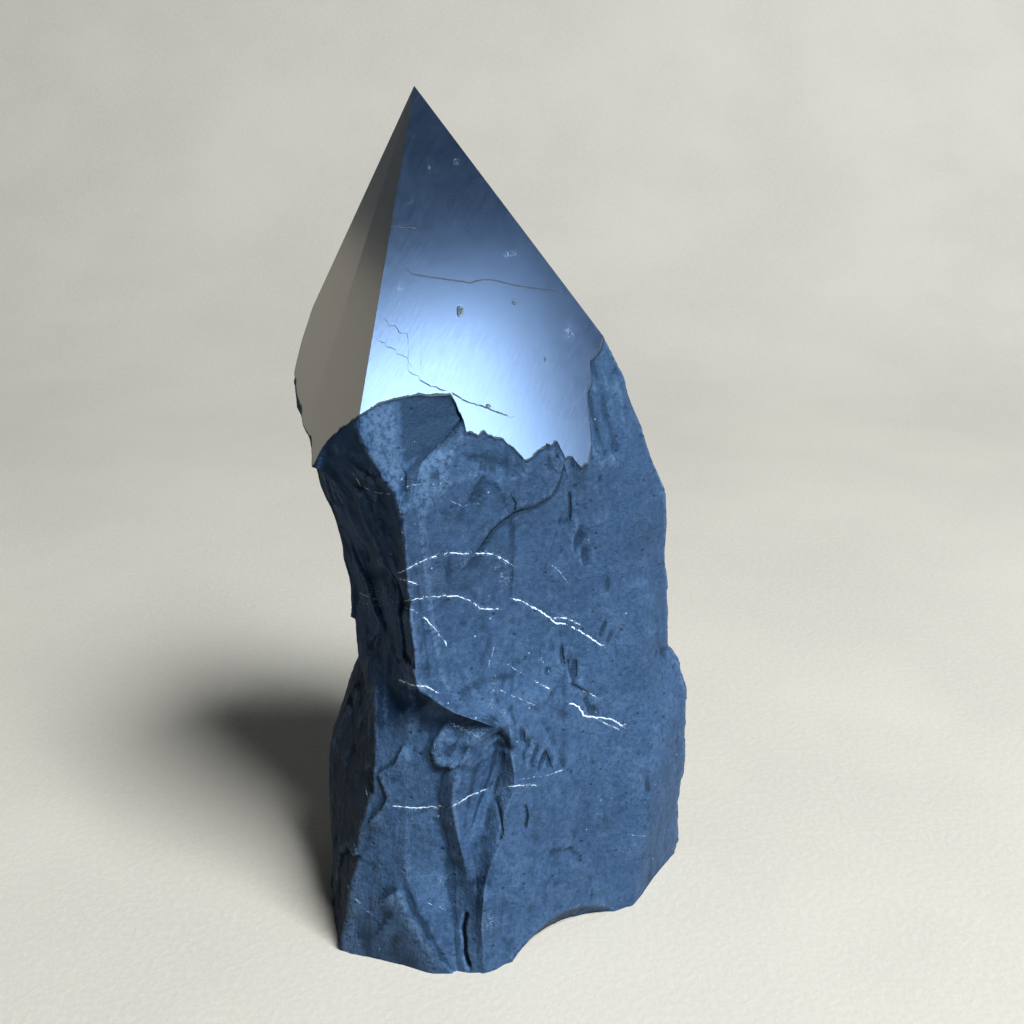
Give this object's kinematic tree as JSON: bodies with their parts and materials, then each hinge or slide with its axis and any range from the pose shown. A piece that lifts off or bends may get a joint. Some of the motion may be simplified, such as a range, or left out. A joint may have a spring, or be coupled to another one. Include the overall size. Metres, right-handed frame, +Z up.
{
  "type": "shungite rock",
  "caption": "Free-standing raw black stone, broken on all sides, with its upper end ground to a polished faceted point and a flat base to stand on.",
  "frame": {"origin": "middle of the bounding box, at the flat base", "axes": "+Z up, from the base to the tip of the point; -Y towards the front, where the large polished face and the flat broken face show; +X to the right seen from the front"},
  "size_m": [0.0764, 0.0602, 0.16],
  "materials": {
    "shungite": "raw broken black stone with a slate-blue cast and thin pale veins, satin polish on the point"
  },
  "bodies": {
    "root": {"shungite_rock": "shungite"}
  },
  "joints": []
}
